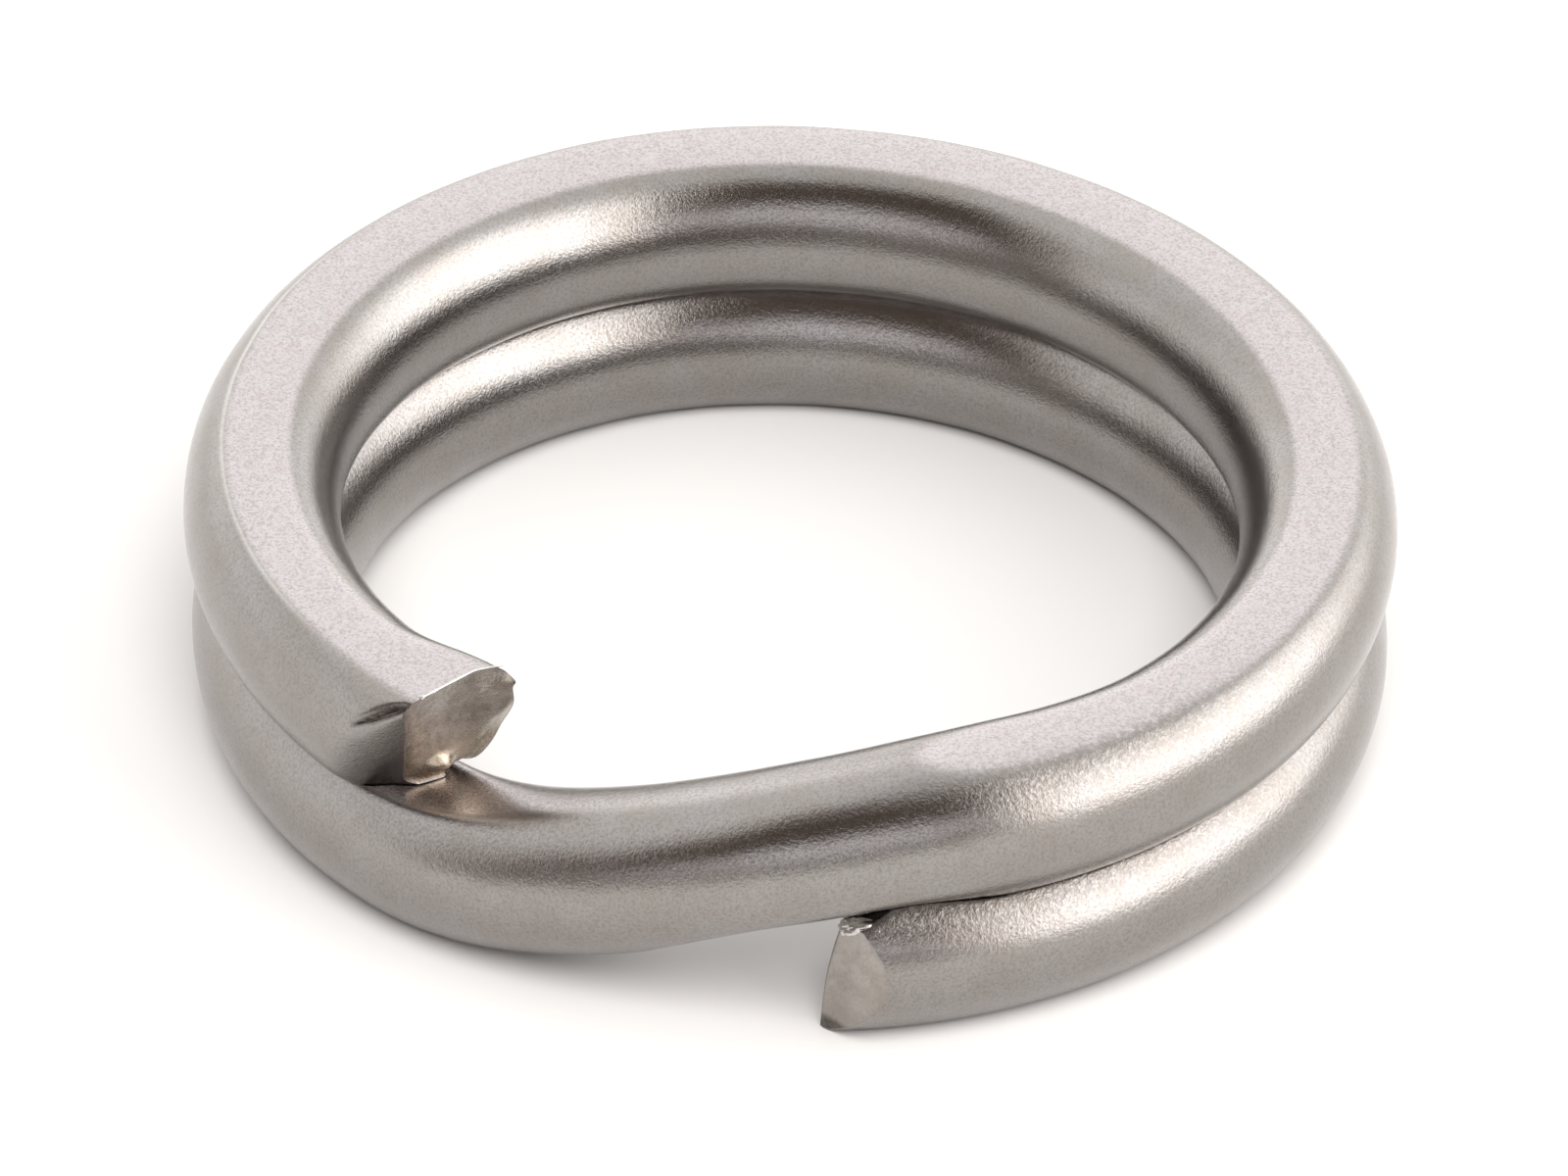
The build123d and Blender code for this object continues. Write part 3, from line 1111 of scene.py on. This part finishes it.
def tent_level(nodes, azimuth, elevation):
    """The tent's brightness: dimmer overhead and at the left, brighter low down and at the lamp."""
    tent = nodes.ranged(elevation, *ZENITH_RISE, TENT_LIGHT, ZENITH_LIGHT)
    tent = nodes.plus(tent, nodes.ranged(elevation, *LOW_TENT_FADE, LOW_TENT_EXTRA, 0.0))
    left = nodes.ranged(azimuth, *LEFT_DIP_FADE, LEFT_DIP, 0.0)
    left = nodes.times(left, nodes.ranged(elevation, *LEFT_DIP_HEIGHT, 1, LEFT_DIP_HIGH_SHARE))
    lamp = nodes.ranged(azimuth, *RIGHT_LAMP_RISE, 0.0, RIGHT_LAMP)
    lamp = nodes.times(lamp, nodes.ranged(elevation, *RIGHT_LAMP_HEIGHT, 1, 0))
    return nodes.plus(nodes.maths("SUBTRACT", tent, left), lamp)


def arch_share(nodes, azimuth, elevation):
    """1 inside the pale arch, 0 outside it and below its foot."""
    from_middle = nodes.maths("PINGPONG", nodes.maths("SUBTRACT", azimuth, ARCH_MIDDLE), 180.0)
    across = nodes.maths("POWER", nodes.maths("DIVIDE", from_middle, ARCH_HALF_WIDTH), 2.0)
    height = nodes.maths("DIVIDE", elevation, ARCH_HEIGHT)
    out = nodes.maths("SQRT", nodes.plus(across, nodes.times(height, height)))
    above_foot = nodes.ranged(elevation, *ARCH_FOOT, 0, 1)
    return nodes.times(nodes.ranged(out, *ARCH_EDGE, 1, 0), above_foot)


def studio_light():
    world = bpy.data.worlds.new("studio")
    bpy.context.scene.world = world
    nodes = new_tree(world)
    towards = nodes.add("ShaderNodeTexCoord").outputs["Generated"]
    parts = nodes.add("ShaderNodeSeparateXYZ", None, Vector=towards)
    azimuth = nodes.maths("DEGREES", nodes.maths("ARCTAN2", parts.outputs["X"], parts.outputs["Y"]))
    elevation = nodes.maths("DEGREES", nodes.maths("ARCSINE", parts.outputs["Z"]))

    tent = tent_level(nodes, azimuth, elevation)
    arch = arch_share(nodes, azimuth, elevation)
    high = nodes.ranged(elevation, *ROOM_CEILING, 0.0, 1.0)
    room = nodes.ranged(high, 0.0, 1.0, ROOM_DARK, ROOM_HIGH)
    room_seen = nodes.times(room, nodes.maths("SUBTRACT", 1.0, arch))
    seen = nodes.plus(room_seen, nodes.times(arch, ARCH_LIGHT))

    off_middle = nodes.maths("PINGPONG", nodes.maths("SUBTRACT", azimuth, OPENING_MIDDLE), 180.0)
    open_share = nodes.ranged(off_middle, *OPENING_EDGE, 1.0, 0.0)
    closed = nodes.times(tent, nodes.maths("SUBTRACT", 1.0, open_share))
    level = nodes.plus(closed, nodes.times(seen, open_share))
    dim = nodes.times(open_share, nodes.maths("SUBTRACT", 1.0, high))
    colour = nodes.mix(dim, TENT_COLOUR, ROOM_COLOUR)
    colour = nodes.mix(nodes.times(arch, open_share), colour, ARCH_COLOUR)
    light = nodes.add("ShaderNodeBackground", None, Color=colour, Strength=level)
    nodes.add("ShaderNodeOutputWorld", None, Surface=light.outputs[0])


def table_light():
    """A soft panel above the front that lights the table: the steel doesn't mirror it."""
    data = bpy.data.lights.new("table_light", "AREA")
    data.shape = "DISK"
    data.size = TABLE_LIGHT_SIZE
    data.energy = TABLE_LIGHT_POWER
    lamp = add_object("table_light", data)
    lamp.location = TABLE_LIGHT_PLACE
    lamp.rotation_mode = "QUATERNION"
    lamp.rotation_quaternion = Vector(TABLE_LIGHT_PLACE).to_track_quat("Z", "Y")
    lamp.visible_glossy = False


def make_camera():
    data = bpy.data.cameras.new("camera")
    data.lens = CAMERA_LENS
    data.shift_x = CAMERA_SHIFT_X
    data.shift_y = CAMERA_SHIFT_Y
    data.clip_start = 0.005
    data.clip_end = 5.0
    camera = add_object("camera", data)
    back = Vector((0, -cos(radians(CAMERA_ELEVATION)), sin(radians(CAMERA_ELEVATION))))
    camera.location = (Vector((0, 0, TURN_HEIGHT)) + back * CAMERA_DISTANCE) * MM
    camera.rotation_mode = "QUATERNION"
    rolled = Quaternion((0, 0, 1), radians(CAMERA_ROLL))
    camera.rotation_quaternion = back.to_track_quat("Z", "Y") @ rolled
    bpy.context.scene.camera = camera


# The ring.


def finish_piece(piece, steel):
    piece.data.materials.append(steel)


def build_turn(prefix, cut_end_angle, end_maker, forward, steel):
    """One arm of the ring: a piece across each hinge, from the middle of one stretch to the next."""
    crossover_side = CROSSOVER_END if forward else CROSSOVER_START
    hinge_angles = np.linspace(crossover_side, cut_end_angle, STRETCHES_PER_TURN + 1)
    middles = [(CROSSOVER_START + CROSSOVER_END) / 2]
    middles += [(a + b) / 2 for a, b in zip(hinge_angles, hinge_angles[1:])]
    joints = [joint for joint in frame["joints"] if joint["name"].startswith(prefix)]
    for index, joint in enumerate(joints):
        name = "wire_" + joint["child"]
        start = middles[index]
        end = middles[index + 1]
        if index == len(joints) - 1:
            piece = end_maker(name, start)
        else:
            piece = wire_piece(name, min(start, end), max(start, end))
        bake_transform(piece)
        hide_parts(joint["child"])
        if joint["parent"] == "crossover" and forward:
            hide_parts("crossover")
        finish_piece(piece, steel)


def main():
    steel = satin_steel()
    build_turn("upper_", UPPER_END_ANGLE, upper_end_piece, True, steel)
    build_turn("lower_", LOWER_END_ANGLE, lower_end_piece, False, steel)
    tongue = burr("lower_end_burr")
    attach(tongue, "lower_cut_end")
    finish_piece(tongue, steel)
    lip = lip_tube("upper_end_lip")
    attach(lip, "upper_cut_end")
    finish_piece(lip, steel)
    make_floor()
    studio_light()
    table_light()
    make_camera()
    bpy.context.scene.view_settings.view_transform = "Standard"


main()
